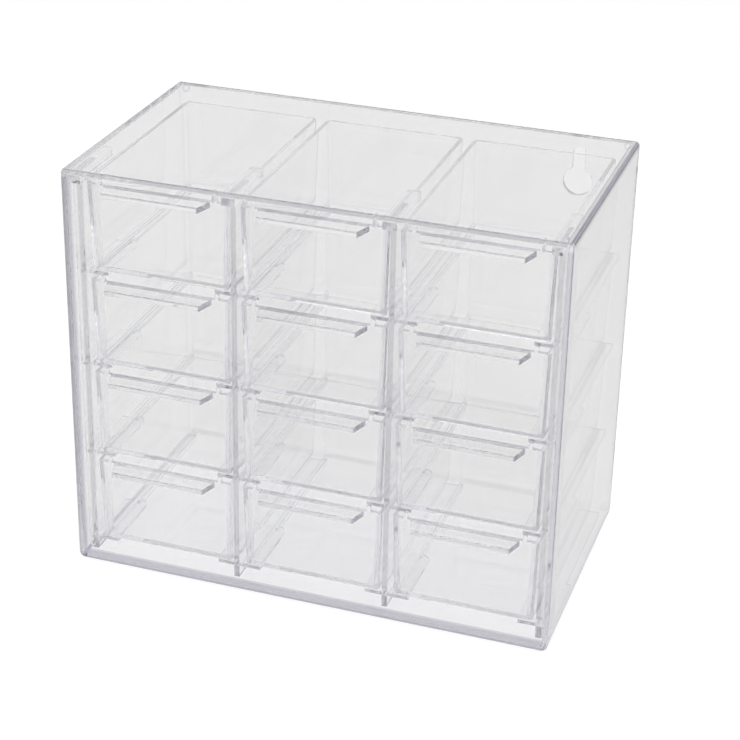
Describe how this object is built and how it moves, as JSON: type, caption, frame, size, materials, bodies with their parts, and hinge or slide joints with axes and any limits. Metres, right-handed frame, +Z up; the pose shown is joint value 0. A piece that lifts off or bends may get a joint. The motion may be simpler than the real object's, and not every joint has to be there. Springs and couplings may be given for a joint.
{
  "type": "desktop drawer organizer",
  "caption": "Clear plastic desktop chest: an open-fronted case with moulded racks that carry a grid of small pull-out drawers, each with a lip handle.",
  "frame": {"origin": "middle of the case's underside", "axes": "+X to the right seen from the front, +Y from the open front to the back, +Z up"},
  "size_m": [0.18, 0.1015, 0.155],
  "materials": {
    "clear": "clear, polished"
  },
  "bodies": {
    "cabinet": {"case": "clear", "rack_left": "clear", "rack_middle_left": "clear", "rack_middle_right": "clear", "rack_right": "clear"},
    "drawer_r1c1": {"drawer_r1c1": "clear"},
    "drawer_r1c2": {"drawer_r1c2": "clear"},
    "drawer_r1c3": {"drawer_r1c3": "clear"},
    "drawer_r2c1": {"drawer_r2c1": "clear"},
    "drawer_r2c2": {"drawer_r2c2": "clear"},
    "drawer_r2c3": {"drawer_r2c3": "clear"},
    "drawer_r3c1": {"drawer_r3c1": "clear"},
    "drawer_r3c2": {"drawer_r3c2": "clear"},
    "drawer_r3c3": {"drawer_r3c3": "clear"},
    "drawer_r4c1": {"drawer_r4c1": "clear"},
    "drawer_r4c2": {"drawer_r4c2": "clear"},
    "drawer_r4c3": {"drawer_r4c3": "clear"}
  },
  "joints": [
    {"name": "slide_r1c1", "type": "slide", "parent": "cabinet", "child": "drawer_r1c1", "axis": [0, -1, 0], "range_m": [0, 0.07]},
    {"name": "slide_r1c2", "type": "slide", "parent": "cabinet", "child": "drawer_r1c2", "axis": [0, -1, 0], "range_m": [0, 0.07]},
    {"name": "slide_r1c3", "type": "slide", "parent": "cabinet", "child": "drawer_r1c3", "axis": [0, -1, 0], "range_m": [0, 0.07]},
    {"name": "slide_r2c1", "type": "slide", "parent": "cabinet", "child": "drawer_r2c1", "axis": [0, -1, 0], "range_m": [0, 0.07]},
    {"name": "slide_r2c2", "type": "slide", "parent": "cabinet", "child": "drawer_r2c2", "axis": [0, -1, 0], "range_m": [0, 0.07]},
    {"name": "slide_r2c3", "type": "slide", "parent": "cabinet", "child": "drawer_r2c3", "axis": [0, -1, 0], "range_m": [0, 0.07]},
    {"name": "slide_r3c1", "type": "slide", "parent": "cabinet", "child": "drawer_r3c1", "axis": [0, -1, 0], "range_m": [0, 0.07]},
    {"name": "slide_r3c2", "type": "slide", "parent": "cabinet", "child": "drawer_r3c2", "axis": [0, -1, 0], "range_m": [0, 0.07]},
    {"name": "slide_r3c3", "type": "slide", "parent": "cabinet", "child": "drawer_r3c3", "axis": [0, -1, 0], "range_m": [0, 0.07]},
    {"name": "slide_r4c1", "type": "slide", "parent": "cabinet", "child": "drawer_r4c1", "axis": [0, -1, 0], "range_m": [0, 0.07]},
    {"name": "slide_r4c2", "type": "slide", "parent": "cabinet", "child": "drawer_r4c2", "axis": [0, -1, 0], "range_m": [0, 0.07]},
    {"name": "slide_r4c3", "type": "slide", "parent": "cabinet", "child": "drawer_r4c3", "axis": [0, -1, 0], "range_m": [0, 0.07]}
  ]
}
